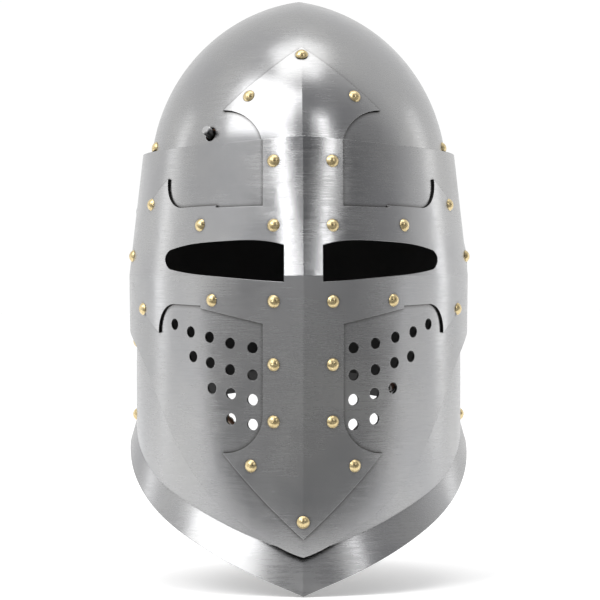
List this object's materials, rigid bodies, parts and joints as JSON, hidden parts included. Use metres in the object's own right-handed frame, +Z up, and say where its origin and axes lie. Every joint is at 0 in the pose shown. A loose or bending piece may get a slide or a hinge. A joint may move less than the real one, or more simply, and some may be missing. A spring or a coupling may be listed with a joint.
{
  "type": "knight helmet",
  "caption": "Visored great helm of riveted steel plates with a pointed skull, an applied cross, eye slits, breathing holes and a leather lining and chin strap.",
  "frame": {"origin": "midway between the two visor pivots, on their common axis, inside the wearer's head", "axes": "+Z up to the skull's point, +X to the wearer's left along the pivot axis, -Y the way the face looks"},
  "size_m": [0.2176, 0.2655, 0.3688],
  "materials": {
    "plate_steel": "satin polished",
    "rivet_brass": "polished, slightly dull",
    "fitting_steel": "satin",
    "spring_steel": "tempered",
    "lining_leather": "matt suede side",
    "strap_leather": "waxed",
    "thong_leather": "matt"
  },
  "bodies": {
    "helmet": {"skull": "plate_steel", "back_plate": "plate_steel", "bevor": "plate_steel", "skull_cross": "plate_steel", "skull_rivets": "rivet_brass", "skull_cross_rivets": "rivet_brass", "seam_rivets": "rivet_brass", "pivot_bolts": "fitting_steel", "pivot_washers": "fitting_steel", "pivot_burrs": "fitting_steel", "catch_spring": "spring_steel", "catch_spring_rivet": "fitting_steel", "liner_band": "lining_leather", "liner_tongues": "lining_leather", "liner_thong": "thong_leather", "strap_rivets": "fitting_steel", "strap_washers": "lining_leather"},
    "visor": {"visor_plate": "plate_steel", "visor_cross": "plate_steel", "visor_rivets": "rivet_brass", "visor_bosses": "fitting_steel"},
    "catch": {"catch_stud": "fitting_steel"},
    "chin_strap": {"strap_left": "strap_leather", "strap_right": "strap_leather", "strap_keeper": "strap_leather", "buckle_frame": "fitting_steel"},
    "prong": {"buckle_prong": "fitting_steel"}
  },
  "joints": [
    {"name": "visor_lift", "type": "hinge", "parent": "helmet", "child": "visor", "pos_m": [0, 0, 0], "axis": [-1, 0, 0], "range_deg": [0, 60]},
    {"name": "catch_press", "type": "slide", "parent": "helmet", "child": "catch", "axis": [0.5505, 0.6606, -0.5105], "range_m": [0, 0.007], "stiffness_N_per_m": 1500, "springref_m": -0.003, "deforming": ["catch_spring"]},
    {"name": "chin_strap_swing", "type": "hinge", "parent": "helmet", "child": "chin_strap", "pos_m": [0, -0.008, -0.048], "axis": [1, 0, 0], "range_deg": [-20, 25]},
    {"name": "prong_tilt", "type": "hinge", "parent": "chin_strap", "child": "prong", "pos_m": [0.06405, -0.008, -0.11338], "axis": [0, -1, 0], "range_deg": [0, 15]}
  ]
}
